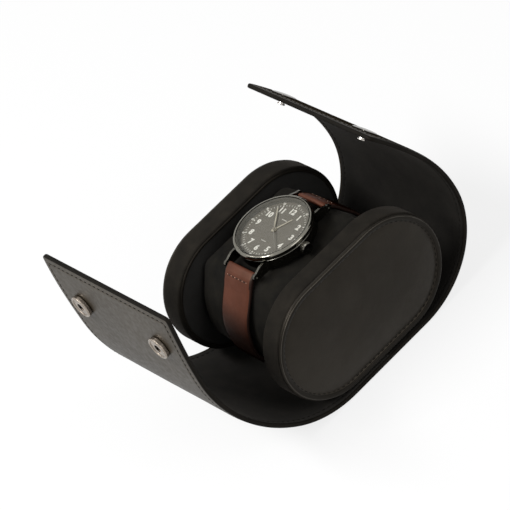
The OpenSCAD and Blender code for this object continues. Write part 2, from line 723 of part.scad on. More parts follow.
// Tongue: a ring on the buckle bar and a pin that rests under the frame's end
module buckle_tongue() color("#5a574f") {
    tip_z = frame_z - wire_r - touch - tongue_r;
    drop = buckle_z - tip_z;
    reach = sqrt(pow(buckle_len, 2) + pow(drop, 2)) + 0.8;
    translate([0, buckle_s, buckle_z]) difference() {
        union() {
            across(buckle_bar_r + 0.55, 2 * tongue_r, 32);
            rotate([180 - atan2(buckle_len, drop), 0, 0]) cylinder(r = tongue_r, h = reach, $fn = 32);
        }
        across(buckle_bar_r + run, 4 * tongue_r, 32);
    }
}

base_leather();
base_lining();
front_leather(0);  // front_leather_1
front_leather(1);  // front_leather_2
front_leather(2);  // front_leather_3
front_leather_4();
front_lining(0);  // front_lining_1
front_lining(1);  // front_lining_2
front_lining(2);  // front_lining_3
front_lining_4();
rear_leather([0]);  // rear_leather_1
rear_leather([1, 2]);  // rear_leather_2
rear_leather_3();
rear_lining([0]);  // rear_lining_1
rear_lining([1, 2]);  // rear_lining_2
rear_lining_3();
rear_facing();
cap_core(1);  // right_cap_core
cap_band(1);  // right_cap_band
cap_panel(1);  // right_cap_panel
cap_welt(1);  // right_cap_welt
cap_inner_panel(1);  // right_cap_inner_panel
cap_inner_welt(1);  // right_cap_inner_welt
cap_core(-1);  // left_cap_core
cap_band(-1);  // left_cap_band
cap_panel(-1);  // left_cap_panel
cap_welt(-1);  // left_cap_welt
cap_inner_panel(-1);  // left_cap_inner_panel
cap_inner_welt(-1);  // left_cap_inner_welt
snap_sockets();
snap_springs();
snap_posts();
snap_studs();
snap_caps();
pillow_foam();
pillow_cover();
watch_case();
watch_back();
watch_bezel();
watch_crystal();
watch_dial();
watch_movement();
hour_hand();
minute_hand();
seconds_hand();
watch_stem();
watch_crown();
spring_bars();
strap_long();
strap_short();
keeper(keeper_s[0]);  // strap_keeper_fixed
keeper(keeper_s[1]);  // strap_keeper_loose
buckle_frame();
buckle_tongue();
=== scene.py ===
from math import copysign, cos, degrees, dist, exp, hypot, pi, radians, sin, sqrt

import bmesh
import bpy
import numpy as np
from mathutils import Matrix, Vector, noise


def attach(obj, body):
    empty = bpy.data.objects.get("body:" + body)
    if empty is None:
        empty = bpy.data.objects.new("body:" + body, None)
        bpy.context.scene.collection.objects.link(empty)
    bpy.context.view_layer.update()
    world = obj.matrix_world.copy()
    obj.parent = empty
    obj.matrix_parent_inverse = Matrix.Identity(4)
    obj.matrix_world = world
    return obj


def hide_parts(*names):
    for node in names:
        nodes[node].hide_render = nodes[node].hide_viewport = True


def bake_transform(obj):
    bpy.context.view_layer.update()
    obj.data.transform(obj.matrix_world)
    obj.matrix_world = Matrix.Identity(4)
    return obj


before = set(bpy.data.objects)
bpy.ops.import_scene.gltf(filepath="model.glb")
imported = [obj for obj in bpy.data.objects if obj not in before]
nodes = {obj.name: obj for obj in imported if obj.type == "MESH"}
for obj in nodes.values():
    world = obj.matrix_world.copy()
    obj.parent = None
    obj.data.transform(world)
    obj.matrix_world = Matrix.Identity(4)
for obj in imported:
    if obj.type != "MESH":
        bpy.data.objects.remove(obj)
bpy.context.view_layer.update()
MM = 0.001

# ---- Sizes in millimetres: the CAD model's, and what the sheets' softness adds ----
WRAP_W = 87.0
LEATHER_T = 1.4
WRAP_T = 2.6
BASE = 24.0       # from the base's middle to where it starts to bend
CORNER_R = 2.6
SPREAD = 2.0      # the wrap spreads past the CAD sheet on each side
FLARE = 2.2       # the front flap widens further towards its free edge
FLARE_FROM = 50.0  # where the flare starts, measured from the free edge
FLARE_RUN = 46.0
FACING_W = 16.0
FACING_T = 0.5
SNAP_X = 29.3
STUD_IN = 10.5
STUD_PRESS_R = 6.5
# length and turn in degrees of each bend, from the base to the free edge
FRONT = [(36, 38.1), (36, 26.9), (32, 22.9), (42.5, 7.1)]
REAR = [(34, 40.9), (40, 52.0), (30, 24.6), (34.7, 9.7)]
CAP_R = 31.7
CAP_STRAIGHT = 19.1
CAP_Z = 34.3
CAP_OUT = 43.5
LEFT_PROUD = 1.0  # the left cap stands out a little further
CAP_IN = 31.5
PANEL_R = 31.1
WELT_W = 2.3
WELT_IN = 0.4     # from the panel's edge to the welt
PAD_IN = 0.8      # from the welt to the pad
DIAL_Z = 67.05
DIAL_R = 17.35
BAR_Y = 24.0
BAR_Z = 63.5
PILLOW_Z = 10.0
PILLOW_TOP = 59.4
PILLOW_HALF = 30.75

# ---- Camera, at the photograph's viewing angle ----
PICTURE_PX = 510
FOCAL_PX = 3712.3
SENSOR = 36.0
CAMERA_AWAY = 1.739
BACK = Vector((0.7300, -0.2994, 0.6143)).normalized()
RIGHT = Vector((0.6133, 0.6836, -0.3956))
RIGHT = (RIGHT - BACK * RIGHT.dot(BACK)).normalized()
UP = BACK.cross(RIGHT)
TARGET = Vector((-32.09, -1.43, 37.44)) * MM


def new_object(name, data):
    obj = bpy.data.objects.new(name, data)
    bpy.context.collection.objects.link(obj)
    return obj


camera_data = bpy.data.cameras.new("camera")
camera_data.sensor_width = SENSOR
camera_data.lens = FOCAL_PX / PICTURE_PX * SENSOR
camera_data.clip_start = 0.05
camera_data.clip_end = 20
camera = new_object("camera", camera_data)
turn = Matrix((RIGHT, UP, BACK)).transposed().to_4x4()
camera.matrix_world = Matrix.Translation(TARGET + BACK * CAMERA_AWAY) @ turn
bpy.context.scene.camera = camera


# ---- Materials ----

PAINTED_SHADE_LEVEL = 0.16                     # what is left of the colour where shade is painted in
GLOSS_TINT = (1.0, 0.86, 0.67, 1)


def new_material(name):
    """A material, its node tree, its shader and the coordinates of its textures."""
    material = bpy.data.materials.new(name)
    material.use_nodes = True
    tree = material.node_tree
    place = tree.nodes.new("ShaderNodeTexCoord").outputs["Object"]
    return material, tree, tree.nodes["Principled BSDF"], place


def feed(tree, node, **sockets):
    """Gives inputs a value, or a link where the value is another node's output."""
    for key, value in sockets.items():
        socket = node.inputs[key.replace("_", " ")]
        if isinstance(value, bpy.types.NodeSocket):
            tree.links.new(value, socket)
        else:
            socket.default_value = value


def add(tree, kind, **sockets):
    node = tree.nodes.new(kind)
    feed(tree, node, **sockets)
    return node


def colour_ramp(tree, source, low, high, start=0.35, end=0.65):
    ramp = add(tree, "ShaderNodeValToRGB", Fac=source)
    stops = ramp.color_ramp.elements
    for stop, position, colour in zip(stops, (start, end), (low, high)):
        stop.position = position
        stop.color = (*colour, 1)
    return ramp.outputs["Color"]


def value_range(tree, source, low, high, start=0.3, end=0.7):
    """low..high as the source goes from start to end."""
    return add(tree, "ShaderNodeMapRange", Value=source, From_Min=start, From_Max=end,
               To_Min=low, To_Max=high).outputs["Result"]


def bumps(tree, shader, layers):
    """Adds (height, strength, distance in mm) layers of bump, the first one lowest."""
    below = {}
    for height, strength, distance in layers:
        bump = add(tree, "ShaderNodeBump", Height=height, Strength=strength,
                   Distance=distance * MM, **below)
        below = {"Normal": bump.outputs["Normal"]}
    feed(tree, shader, **below)


def noise_texture(tree, coordinates, size_mm, detail=3.0, rough=0.55, stretch=None):
    if stretch is not None:
        coordinates = add(tree, "ShaderNodeMapping", Vector=coordinates,
                          Scale=stretch).outputs["Vector"]
    return add(tree, "ShaderNodeTexNoise", Vector=coordinates, Scale=1 / (size_mm * MM),
               Detail=detail, Roughness=rough).outputs["Fac"]


def pebbles(tree, coordinates, size_mm):
    node = add(tree, "ShaderNodeTexVoronoi", Vector=coordinates, Scale=1 / (size_mm * MM))
    node.feature = "SMOOTH_F1"
    return node.outputs["Distance"]


def worn_colour(tree, coordinates, colour, dark_below, unshaded_above):
    """Painted shade: the colour darkens between two heights in mm, and stays dark below the
    lower.
    """
    height = add(tree, "ShaderNodeSeparateXYZ", Vector=coordinates).outputs["Z"]
    shade = value_range(tree, height, PAINTED_SHADE_LEVEL, 1.0, dark_below * MM, unshaded_above * MM)
    darker = add(tree, "ShaderNodeVectorMath")
    darker.operation = "SCALE"
    feed(tree, darker, Vector=colour, Scale=shade)
    return darker.outputs["Vector"]


def leather(name, dark, light, rough, grain=0.7, grain_strength=0.25, crease=0.35,
            specular=0.5, cloud_size=14, shine=(0.68, 0.84, 0.0), worn=None):
    """Smooth leather: pebbled grain, soft creases, mottled colour and gloss. shine says
    from where to where, towards edge on, the gloss fades, and what share is left. The
    last argument gives two heights in mm, between which shade is painted into the colour."""
    material, tree, shader, place = new_material(name)
    colour = colour_ramp(tree, noise_texture(tree, place, cloud_size, 5), dark, light)
    # paints shade into the colour below the given heights
    if worn:
        colour = worn_colour(tree, place, colour, *worn)
    fine = noise_texture(tree, place, 2.2, 4)
    # the grain breaks up the gloss where the surface is seen edge on
    edge_on = add(tree, "ShaderNodeLayerWeight", Blend=0.5).outputs["Facing"]
    fade_from, fade_to, share = shine
    feed(tree, shader, Base_Color=colour, Specular_Tint=GLOSS_TINT,
         Roughness=value_range(tree, fine, rough - 0.05, rough + 0.07),
         Specular_IOR_Level=value_range(tree, edge_on, specular, specular * share,
                                        fade_from, fade_to))
    bumps(tree, shader, [
        (noise_texture(tree, place, 9, 3), crease, 0.5),
        (pebbles(tree, place, grain), grain_strength, 0.10),
        (noise_texture(tree, place, 0.25, 2), grain_strength * 0.6, 0.04)])
    return material


def suede(name, dark, light, sheen=0.03, patch=11):
    """Suede: short nap, brushed patches that read lighter or darker, a soft sheen."""
    material, tree, shader, place = new_material(name)
    patches = noise_texture(tree, place, patch, 4, 0.6)
    feed(tree, shader, Base_Color=colour_ramp(tree, patches, dark, light, 0.32, 0.7),
         Roughness=0.95, Specular_IOR_Level=0.06, Sheen_Weight=sheen,
         Sheen_Roughness=0.45, Sheen_Tint=(0.5, 0.45, 0.4, 1))
    bumps(tree, shader, [
        (noise_texture(tree, place, 6, 3), 0.3, 0.35),
        (noise_texture(tree, place, 0.4, 3, 0.7), 0.5, 0.12)])
    return material


def metal(name, colour, rough, dark=None, scratches=0.06):
    """Metal with faint lengthwise scratches and uneven polish."""
    material, tree, shader, place = new_material(name)
    cloud = noise_texture(tree, place, 3, 3)
    low = dark or tuple(0.8 * c for c in colour)
    polish = noise_texture(tree, place, 1.1, 4)
    feed(tree, shader, Base_Color=colour_ramp(tree, cloud, low, colour, 0.3, 0.6),
         Metallic=1.0, Roughness=value_range(tree, polish, rough * 0.75, rough * 1.3))
    grain = noise_texture(tree, place, 0.2, 3, 0.6, (1, 6, 1))
    bumps(tree, shader, [(grain, scratches, 0.03)])
    return material


def painted(name, dark, light, rough):
    material, tree, shader, place = new_material(name)
    feed(tree, shader, Roughness=rough,
         Base_Color=colour_ramp(tree, noise_texture(tree, place, 2.5, 4), dark, light))
    bumps(tree, shader, [(noise_texture(tree, place, 0.15, 3), 0.08, 0.02)])
    return material


def glass(name):
    """Clear crystal with a faint smoky haze and slightly uneven polish."""
    material, tree, shader, place = new_material(name)
    polish = noise_texture(tree, place, 9, 2)
    feed(tree, shader, Roughness=value_range(tree, polish, 0.05, 0.12),
         Base_Color=(0.05, 0.05, 0.045, 1), IOR=1.5, Alpha=0.12)
    return material


OUTER_COLOURS = (0.0225, 0.0178, 0.0115), (0.0315, 0.0253, 0.0172)
OUTER_SKIN = dict(rough=0.42, grain=0.6, grain_strength=0.08, crease=0.08, specular=0.46,
                  cloud_size=30)
OUTER = leather("outer_leather", *OUTER_COLOURS, shine=(0.50, 0.88, 0.22), **OUTER_SKIN)
OUTER_BACK = leather("outer_leather_back", *OUTER_COLOURS, **OUTER_SKIN)
PANEL = leather("panel_leather", (0.0058, 0.0051, 0.0044), (0.0150, 0.0132, 0.0110),
                0.38, grain=0.55, grain_strength=0.14, crease=0.4, specular=0.2,
                cloud_size=34)
WELT = leather("welt_leather", (0.0045, 0.0042, 0.0037), (0.0075, 0.0069, 0.0062), 0.34,
               grain=0.5, grain_strength=0.14, crease=0.25, specular=0.13)
# The welt's rim is painted lighter: a painted highlight along its edge.
WELT_RIM_HIGHLIGHT = leather("welt_leather_worn", (0.018, 0.0168, 0.015), (0.032, 0.030, 0.027),
                    0.34, grain=0.5, grain_strength=0.2, specular=0.35)
FACING = leather("facing_leather", (0.0270, 0.0225, 0.0168), (0.0400, 0.0335, 0.0250),
                 0.48, grain=0.5, grain_strength=0.2, crease=0.3, specular=0.35,
                 shine=(0.72, 0.95, 0.3))
LINING = suede("lining_suede", (0.0088, 0.0082, 0.0073), (0.0130, 0.0118, 0.0102))
# The base and front lining is the same suede as the rear flap's, painted lighter to stand in
# for light where the caps and flaps shade it.
LINING_PAINTED_LIGHT = suede("lining_suede_front_painted_light", (0.0215, 0.0204, 0.0187), (0.0315, 0.0290, 0.0260))
BAND = suede("band_suede", (0.0105, 0.0094, 0.0078), (0.0200, 0.0172, 0.0136), 0.06)
INNER = suede("inner_suede", (0.0250, 0.0240, 0.0228), (0.0330, 0.0315, 0.0295))
INNER_WELT = leather("inner_welt_leather", (0.008, 0.007, 0.006), (0.013, 0.011, 0.009),
                     0.45, specular=0.13)
PILLOW = suede("pillow_suede", (0.0080, 0.0076, 0.0069), (0.0150, 0.0135, 0.0108), 0.03,
               patch=9)
STRAP_COLOURS = (0.064, 0.0183, 0.0094), (0.095, 0.0298, 0.0168)
STRAP_SKIN = dict(rough=0.52, grain=0.45, grain_strength=0.2, crease=0.3, specular=0.22)
# Both strap halves have shade painted into their colour, darkest low down where the strap
# runs between the caps, so the tail and keepers are painted dark too. The rear half is a copy
# whose painted shade reaches up nearly to its spring bar.
STRAP = leather("strap_leather", *STRAP_COLOURS, worn=(37, 51), **STRAP_SKIN)
STRAP_REAR_SHADED = leather("strap_leather_rear_painted_shade", *STRAP_COLOURS, worn=(57, 65), **STRAP_SKIN)
STRAP_EDGE = leather("strap_edge_paint", (0.012, 0.0060, 0.0050), (0.020, 0.0090, 0.0072),
                     0.5, specular=0.2)
THREAD = leather("black_thread", (0.006, 0.0056, 0.0052), (0.010, 0.0093, 0.0086), 0.7,
                 grain=0.12, grain_strength=0.6, specular=0.05)
HEM = leather("hem_leather", (0.0035, 0.0031, 0.0026), (0.0075, 0.0066, 0.0056), 0.5,
              grain=0.5, grain_strength=0.2, specular=0.06)
STRAP_THREAD = leather("strap_thread", (0.012, 0.006, 0.005), (0.03, 0.014, 0.011), 0.6,
                       grain=0.12, grain_strength=0.6, specular=0.3)
# Light specks at the strap's stitch ends: painted highlights of the stitch holes.
STITCH_HOLE_HIGHLIGHT = leather("strap_stitch_hole_highlight", (0.30, 0.17, 0.12), (0.42, 0.27, 0.2), 0.5,
                grain=0.12, grain_strength=0.6)
NICKEL = metal("nickel", (0.33, 0.285, 0.24), 0.28, (0.24, 0.205, 0.17), scratches=0.12)
BORE = metal("blackened_nickel", (0.030, 0.026, 0.022), 0.4, (0.018, 0.016, 0.014))
STUD = metal("polished_nickel", (0.72, 0.69, 0.65), 0.16, (0.45, 0.42, 0.39))
BLACK_CAP = metal("black_nickel", (0.14, 0.13, 0.115), 0.2, (0.09, 0.083, 0.074))
DARK_STEEL = metal("gunmetal", (0.115, 0.110, 0.095), 0.19, (0.085, 0.081, 0.070),
                   scratches=0.03)
BEZEL = metal("gunmetal_polished", (0.21, 0.20, 0.17), 0.13, (0.18, 0.172, 0.146),
              scratches=0.02)
STEEL = metal("steel", (0.42, 0.41, 0.38), 0.22)
BUCKLE = metal("brushed_dark_steel", (0.20, 0.19, 0.17), 0.3)
BRASS = metal("movement_plating", (0.55, 0.45, 0.25), 0.3)
DIAL = painted("dial_paint", (0.172, 0.159, 0.128), (0.190, 0.176, 0.142), 0.5)
RING = painted("rehaut_paint", (0.120, 0.114, 0.094), (0.138, 0.131, 0.109), 0.5)
NUMERALS = painted("numeral_paint", (0.92, 0.90, 0.80), (0.98, 0.96, 0.86), 0.6)
HANDS = painted("hand_paint", (0.56, 0.52, 0.40), (0.66, 0.61, 0.48), 0.45)
SECONDS = painted("seconds_paint", (0.24, 0.225, 0.19), (0.30, 0.28, 0.24), 0.45)
MARKS = painted("dial_mark_paint", (0.62, 0.60, 0.53), (0.72, 0.70, 0.62), 0.5)
CRYSTAL = glass("crystal_glass")
CORE_BOARD = painted("cap_board", (0.05, 0.04, 0.03), (0.07, 0.055, 0.04), 0.9)
FOAM = painted("foam", (0.05, 0.05, 0.048), (0.07, 0.07, 0.066), 0.95)


def give(material, *node_names):
    """Puts a material on every slot of some CAD nodes."""
    for node_name in node_names:
        obj = nodes[node_name]
        if len(obj.data.materials) == 0:
            obj.data.materials.append(material)
        for s in obj.material_slots:
            s.link = "OBJECT"
            s.material = material


# ---- Mesh helpers ----

CORNERS = ((-1, -1), (1, -1), (1, 1), (-1, 1))


def new_mesh(name, points, faces, unit=MM):
    mesh = bpy.data.meshes.new(name)
    mesh.from_pydata([tuple(c * unit for c in p) for p in points], [], faces)
    mesh.update()
    return mesh


def make(name, points, faces, material, smooth=True, unit=MM):
    mesh = new_mesh(name, points, faces, unit)
    obj = new_object(name, mesh)
    mesh.materials.append(material)
    if smooth:
        mesh.shade_smooth()
    return obj


def ring_faces(rings, count, close_ends=False):
    """Quads between rings of `count` points each, wound round the ring."""
    faces = []
    for i in range(rings - 1):
        for k in range(count):
            a, b = i * count + k, i * count + (k + 1) % count
            faces.append((a, b, b + count, a + count))
    if close_ends:
        faces.append(tuple(range(count - 1, -1, -1)))
        faces.append(tuple((rings - 1) * count + k for k in range(count)))
    return faces


def wobble(p, size, seed=0.0):
    """Smooth noise in -1..1 at a place in millimetres."""
    return noise.noise(Vector((p[0] / size + seed, p[1] / size - seed, p[2] / size)))


def clamp(t):
    return max(0.0, min(1.0, t))


def smoothstep(t):
    u = clamp(t)
    return u * u * (3 - 2 * u)


def between(a, b, t):
    return a + (b - a) * t


def outward(mesh, merge=False, first_down=False):
    """Turns faces outwards. merge joins points that meet. first_down is for an open
    sheet, whose first face belongs to its lower side."""
    bm = bmesh.new()
    bm.from_mesh(mesh)
    if merge:
        bmesh.ops.remove_doubles(bm, verts=bm.verts, dist=1e-6)
    bmesh.ops.recalc_face_normals(bm, faces=bm.faces)
    bm.faces.ensure_lookup_table()
    if first_down and bm.faces[0].normal.z > 0:
        bmesh.ops.reverse_faces(bm, faces=bm.faces)
    bm.to_mesh(mesh)
    bm.free()


# ---- Wrap ----

def walk(start, length, turn_deg, d):
    """(y, z, heading) after d mm of a bend, or of a straight where nothing turns."""
    y, z, t = start
    if turn_deg == 0:
        return y + d * cos(t), z + d * sin(t), t
    r = length / radians(turn_deg)
    t2 = t + radians(turn_deg) * d / length
    return y + r * (sin(t2) - sin(t)), z + r * (cos(t) - cos(t2)), t2


def follow(here, bends, left):
    """(y, z, heading) after the next left mm of a line of bends."""
    for length, turn_deg in bends:
        if left <= 0:
            break
        here = walk(here, length, turn_deg, min(left, length))
        left -= length
    return here


def place(bends, s):
    """(y, z, heading) of the wrap's outer face, s mm from the middle of the base."""
    return follow((min(s, BASE), 0.0, 0.0), bends, s - BASE)


def flap_length(bends):
    return BASE + sum(b[0] for b in bends)


def wrap_point(bends, side, x, s, depth):
    """The place of (across, along, depth below the outer face) on a flap."""
    y, z, t = place(bends, s)
    spread = SPREAD
    if bends is FRONT:
        spread += FLARE * smoothstep((s - flap_length(FRONT) + FLARE_FROM) / FLARE_RUN)
    x *= 1 + spread / (WRAP_W / 2)
    return (x, side * (y - depth * sin(t)), z + depth * cos(t))


def edge_distance(x, s, length, half_w):
    """Distance in from the outline of a flap with rounded corners."""
    px = abs(x) - (half_w - CORNER_R)
    ps = s - (length - CORNER_R)
    if px > 0 and ps > 0:
        return CORNER_R - hypot(px, ps)
    return min(half_w - abs(x), length - s)


EDGE_STEPS = [0.0, 0.12, 0.3, 0.55, 0.85, 1.2, 1.8, 2.4, 2.8, 3.1, 3.4, 3.7, 4.0, 4.4, 5.2]
STITCH_IN = 3.4
ROW_STEP = 2.0


def edge_rows(length):
    """Distances along a flap: even steps, then close ones next to the free edge."""
    end = length - EDGE_STEPS[-1]
    count = max(2, round(end / ROW_STEP))
    return [end * i / count for i in range(count)] + [
        length - e for e in reversed(EDGE_STEPS)]


def columns(half_w, inner=22):
    side = [half_w - e for e in EDGE_STEPS]
    middle = [side[-1] * (1 - 2 * i / inner) for i in range(1, inner)]
    return side + middle + [-v for v in reversed(side)]


def across(half_w, length, s, cols):
    """(x, distance from the edge) of each column at s, drawn in at rounded corners."""
    inset = max(0.0, s - (length - CORNER_R))
    shrink = CORNER_R - sqrt(max(0.0, CORNER_R ** 2 - inset ** 2))
    for x in cols:
        x = x * (half_w - shrink) / half_w
        yield x, max(0.0, edge_distance(x, s, length, half_w))


def roll(d, e):
    """How far a surface drops at distance d from a rounded edge of radius e."""
    if d >= e:
        return 0.0
    return e - sqrt(max(0.0, e * e - (e - d) ** 2))


def groove(d, at, width, depth):
    return depth * exp(-((d - at) / width) ** 2)


def sheet_mesh(bends, side, half_w, length, surfaces, rows, cols):
    """A whole sheet, open at the base's middle. surfaces gives the depth of its two faces
    at (x, s, distance from the edge)."""
    points = [wrap_point(bends, side, x, s, face(x, s, d)) for face in surfaces
              for s in rows for x, d in across(half_w, length, s, cols)]
    n = len(cols)
    grid = len(rows) * n
    faces = []
    for i in range(len(rows) - 1):
        for j in range(n - 1):
            a = i * n + j
            faces.append((a, a + 1, a + n + 1, a + n))
            b = a + grid
            faces.append((b, b + n, b + n + 1, b + 1))
        for j, flip in ((0, True), (n - 1, False)):
            a = i * n + j
            q = (a, a + n, a + n + grid, a + grid)
            faces.append(q if flip else q[::-1])
    last = (len(rows) - 1) * n
    for j in range(n - 1):
        faces.append((last + j, last + j + 1, last + j + 1 + grid, last + j + grid))
    mesh = new_mesh("whole_sheet", points, faces)
    outward(mesh, first_down=True)
    mesh.shade_smooth()
    return mesh


def sheet_pieces(name, bends, side, half_w, length, surfaces, material, plan, rim):
    """A sheet that follows the flap, cut halfway between its folds. A strip rim wide
    along its edge has the hem's darker leather."""
    rows = sorted(set(round(r, 4) for r in edge_rows(length)) | set(plan["cuts"]))
    cols = columns(half_w)
    n = len(cols)
    grid = len(rows) * n
    mesh = sheet_mesh(bends, side, half_w, length, surfaces, rows, cols)
    normals = [v.normal.copy() for v in mesh.vertices]
    coordinates = [v.co.copy() for v in mesh.vertices]
    polygons = [tuple(p.vertices) for p in mesh.polygons]
    row_of = [(v % grid) // n for v in range(len(coordinates))]
    in_hem = {i * n + j for i in range(len(rows)) for j in range(n)
              if rim > min(half_w - abs(cols[j]), length - rows[i])}
    cut_rows = [rows.index(round(c, 4)) for c in plan["cuts"]]
    pieces = []
    for q, joint in enumerate(plan["joints"]):
        low, high = cut_rows[q], cut_rows[q + 1]
        chosen = [p for p in polygons if all(low <= row_of[v] <= high for v in p)]
        used = sorted({v for p in chosen for v in p})
        remap = {v: i for i, v in enumerate(used)}
        obj = make(f"{name}_{q + 1}", [coordinates[v] for v in used],
                   [tuple(remap[v] for v in p) for p in chosen], material, unit=1.0)
        obj.data.normals_split_custom_set_from_vertices([normals[v] for v in used])
        obj.data.materials.append(HEM)
        for face, corners in zip(obj.data.polygons, chosen):
            if all(v % grid in in_hem for v in corners):
                face.material_index = 1
        bend_over(obj, bends, side, joint)
        pieces.append(obj)
    bpy.data.meshes.remove(mesh)
    return pieces


BLEND = 8.0       # bend_over works out the sheet's points this far to each side of a fold


def bend_over(obj, bends, side, joint):
    """Bakes a piece's place into its mesh. The points either side of its fold are worked out
    but not used: nothing bends.
    """
    first, second, at = joint
    start, end = (tuple(c * MM for c in wrap_point(bends, side, 0, s, WRAP_T))
                  for s in (at - BLEND, at + BLEND))
    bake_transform(obj)


def fold_plan(bends, side_name, folds):
    """Cuts halfway between folds, and for each stretch the fold inside it, with the names
    of the parts either side. A fold lies where a bend starts."""
    at = [BASE + sum(b[0] for b in bends[:i]) for i in folds]
    cuts = [0.0] + [round((a + b) / 2, 4) for a, b in zip(at, at[1:])]
    names = ["base"] + [f"{side_name}_{i + 1}" for i in range(len(folds))]
    return {"cuts": cuts + [flap_length(bends)], "joints": list(zip(names, names[1:], at))}


FLAPS = ((-1, "front", FRONT, fold_plan(FRONT, "front", [0, 1, 2, 3])),
         (1, "rear", REAR, fold_plan(REAR, "rear", [0, 1, 3])))
TURNED = 1.1      # width of the leather turned over the wrap's edge


def leather_outer(x, s, d):
    lift = 0.10 * wobble((x, s, 3), 22) + 0.04 * wobble((x, s, 9), 7)
    ease = min(1.0, d / 6)
    puff = 0.40 * max(0.0, 1 - d / STITCH_IN) ** 1.6
    return roll(d, 0.6) + groove(d, STITCH_IN, 0.42, 0.30) + puff + 0.16 + lift * ease


def leather_inner(x, s, d):
    if d < TURNED:
        return WRAP_T - 0.05 - roll(d, 0.7)
    return LEATHER_T if d > TURNED + 0.2 else LEATHER_T + 0.5


def lining_outer(x, s, d):
    return LEATHER_T


def lining_inner(x, s, d):
    """The suede's face: soft ripples across the flap, a stitched edge."""
    ripple = 0.16 * wobble((x, s * 0.35, 5), 9, 2.0) + 0.10 * wobble((x, s, 2), 18)
    ease = min(1.0, d / 5)
    return (WRAP_T - 0.10 - roll(d, 0.5) - groove(d, STITCH_IN - TURNED, 0.4, 0.32)
            + ripple * ease * 0.6 - 0.02)


def rear_lining_inner(x, s, d):
    """The same face, pressed down under the facing strip."""
    under = s - (flap_length(REAR) - FACING_W)
    return lining_inner(x, s, d) - 0.35 * smoothstep((under - 0.3) / 0.6)


def wrap_skins():
    half = WRAP_W / 2
    looks = {"front": (OUTER, LINING_PAINTED_LIGHT, lining_inner),
             "rear": (OUTER_BACK, LINING, rear_lining_inner)}
    for side, name, bends, plan in FLAPS:
        leather_look, suede_look, suede_face = looks[name]
        length = flap_length(bends)
        skins = sheet_pieces(f"{name}_leather_skin", bends, side, half, length,
                             (leather_outer, leather_inner), leather_look,
                             plan, 0.9)
        inner_length = length - TURNED
        inner_plan = dict(plan, cuts=plan["cuts"][:-1] + [inner_length])
        linings = sheet_pieces(f"{name}_suede_skin", bends, side, half - TURNED,
                               inner_length, (lining_outer, suede_face), suede_look,
                               inner_plan, 0.0)
        for i in range(len(plan["joints"])):
            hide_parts(f"{name}_leather_{i + 1}")
            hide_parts(f"{name}_lining_{i + 1}")
        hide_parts("base_leather")
        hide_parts("base_lining")


def facing_strip():
    """Smooth strip inside the rear flap's free edge, over the suede."""
    length = flap_length(REAR) - TURNED
    half = WRAP_W / 2 - TURNED
    start = flap_length(REAR) - FACING_W

    def top(x, s, d):
        edge = min(d, s - start)
        off = hypot(abs(x) * (1 + 2 * SPREAD / WRAP_W) - SNAP_X,
                    s - flap_length(REAR) + STUD_IN)
        pressed = 0.12 * (1 - smoothstep((off - STUD_PRESS_R) / 2))
        return WRAP_T - 0.22 - roll(max(0.0, edge), 0.45) - pressed - groove(
            d, STITCH_IN - TURNED, 0.4, 0.25) + 0.05 * wobble((x, s, 1), 12)

    cols = columns(half)
    rows = [start + e for e in (0, 0.12, 0.3, 0.5, 0.9, 1.5)]
    rows += [r for r in edge_rows(length) if r > start + 2.2]
    points = [wrap_point(REAR, 1, x, s, top(x, s, d)) for s in rows
              for x, d in across(half, length, s, cols)]
    n = len(cols)
    faces = [(i * n + j, i * n + j + 1, (i + 1) * n + j + 1, (i + 1) * n + j)
             for i in range(len(rows) - 1) for j in range(n - 1)]
    strip = make("rear_facing_skin", points, faces, FACING)
    solid = strip.modifiers.new("thickness", "SOLIDIFY")
    solid.thickness = FACING_T * MM
    solid.offset = 0
    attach(strip, "rear_3")
    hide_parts("rear_facing")


# ---- Stitches ----

WRAP_PITCH, PANEL_PITCH = 3.1, 2.9


def stitch_mesh(name, places, length, radius, material):
    """places holds (centre, direction along the seam, direction up) in millimetres."""
    points, faces = [], []
    around, along = 6, 5
    for centre, ahead, up in places:
        c, a, u = Vector(centre), Vector(ahead).normalized(), Vector(up).normalized()
        side = a.cross(u).normalized()
        base = len(points)
        for i in range(along):
            t = -1 + 2 * i / (along - 1)
            r = radius * sqrt(max(0.06, 1 - t * t * 0.94))
            dip = -radius * 1.1 * t * t
            for k in range(around):
                w = 2 * pi * k / around
                points.append(c + a * (t * length / 2) + side * (r * 1.15 * cos(w))
                              + u * (r * sin(w) + dip))
        faces += [tuple(base + v for v in f) for f in ring_faces(along, around, True)]
    return make(name, points, faces, material)


def flap_seam(length, half_w):
    """Places (x, s, direction) of the stitches along a flap's three edges."""
    a, b = half_w - STITCH_IN, length - STITCH_IN
    r = max(0.2, CORNER_R - STITCH_IN)
    side_len, arc = b - r, r * pi / 2
    total = 2 * (side_len + arc + a - r)
    count = round(total / WRAP_PITCH)

    def near_half(q):
        if q < side_len:
            return a, q, 0, 1
        if q < side_len + arc:
            w = (q - side_len) / r
            c, n = cos(w), sin(w)
            return a - r + r * c, b - r + r * n, -n, c
        return a - r - (q - side_len - arc), b, -1, 0

    seam = []
    for i in range(count):
        q = total * (i + 0.5) / count
        sign = 1 if q < total / 2 else -1
        x, s, dx, ds = near_half(min(q, total - q))
        seam.append((sign * x, s, (dx, sign * ds)))
    return seam


